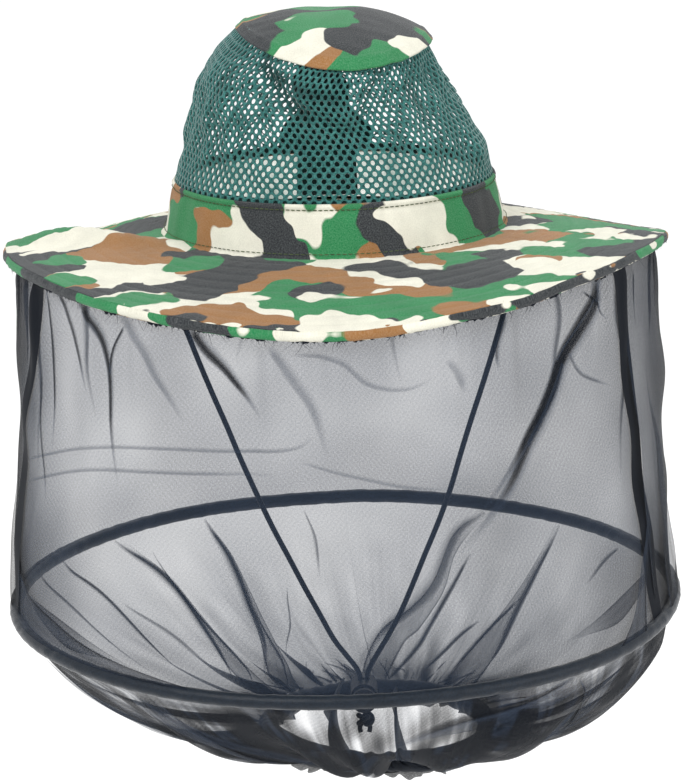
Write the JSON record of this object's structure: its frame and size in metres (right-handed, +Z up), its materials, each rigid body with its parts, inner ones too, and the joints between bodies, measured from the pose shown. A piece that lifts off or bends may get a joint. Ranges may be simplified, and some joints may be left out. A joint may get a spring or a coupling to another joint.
{
  "type": "beekeeping veil",
  "caption": "Wide-brimmed camouflage hat with a mesh crown and a black net veil that hangs over a steel hoop to a gathered elastic neck.",
  "frame": {"origin": "centre of the head opening, level with the seam of crown and brim", "axes": "+Z up, the hat faces -Y, +X to the right in a front view"},
  "size_m": [0.3679, 0.368, 0.4154],
  "materials": {
    "camo_cotton": "printed twill cotton, matt",
    "athletic_mesh": "knitted polyester mesh, slight sheen",
    "sweatband_cotton": "plain cotton tape",
    "felt": "stiff needled felt",
    "net_edge": "doubled and raw net, frayed",
    "net": "fine black tulle, see-through",
    "tape": "woven tape",
    "cord": "braided polyester cord",
    "casing_tape": "knitted binding, soft sheen",
    "elastic": "woven elastic",
    "spring_steel": "drawn wire",
    "zinc_steel": "zinc plated, crimped",
    "black_plastic": "moulded, fine texture"
  },
  "bodies": {
    "hat": {"crown_tip": "camo_cotton", "crown_mesh": "athletic_mesh", "crown_band": "camo_cotton", "sweatband": "sweatband_cotton", "brim_top_layer": "camo_cotton", "brim_interlining": "felt", "brim_under_layer": "camo_cotton", "brim_edge_binding": "camo_cotton", "net_top_hem": "net_edge", "net_front_panel": "net", "net_rear_panel": "net", "net_side_seam_left": "net_edge", "net_side_seam_right": "net_edge", "chin_cord_tab_left": "tape", "chin_cord_tab_right": "tape", "chin_cord_left": "cord", "chin_cord_right": "cord"},
    "hoop": {"hoop_wire": "spring_steel", "hoop_joiner": "zinc_steel", "hoop_casing": "casing_tape", "lower_net": "net"},
    "neck": {"neck_hem_casing": "casing_tape", "neck_elastic": "elastic", "neck_ruffle": "net", "strap_left": "elastic", "strap_right": "elastic"},
    "cord_lock": {"cord_lock_body": "black_plastic", "cord_lock_spring": "spring_steel", "cord_end_knot": "cord"},
    "lock_button": {"cord_lock_button": "black_plastic"}
  },
  "joints": [
    {"name": "hoop_lift", "type": "slide", "parent": "hat", "child": "hoop", "axis": [0, 0, 1], "range_m": [0, 0.12], "deforming": ["net_front_panel", "net_rear_panel", "net_side_seam_left", "net_side_seam_right", "chin_cord_left", "chin_cord_right"]},
    {"name": "neck_rise", "type": "slide", "parent": "hoop", "child": "neck", "axis": [0, 0, 1], "range_m": [0, 0.04], "deforming": ["lower_net", "chin_cord_left", "chin_cord_right"]},
    {"name": "cord_lock_slide", "type": "slide", "parent": "hat", "child": "cord_lock", "axis": [0, 0, 1], "range_m": [0, 0.06], "deforming": ["chin_cord_left", "chin_cord_right"]},
    {"name": "cord_lock_press", "type": "slide", "parent": "cord_lock", "child": "lock_button", "axis": [0, 1, 0], "range_m": [0, 0.004], "stiffness_N_per_m": 300, "springref_m": -0.004, "deforming": ["cord_lock_spring"]}
  ]
}
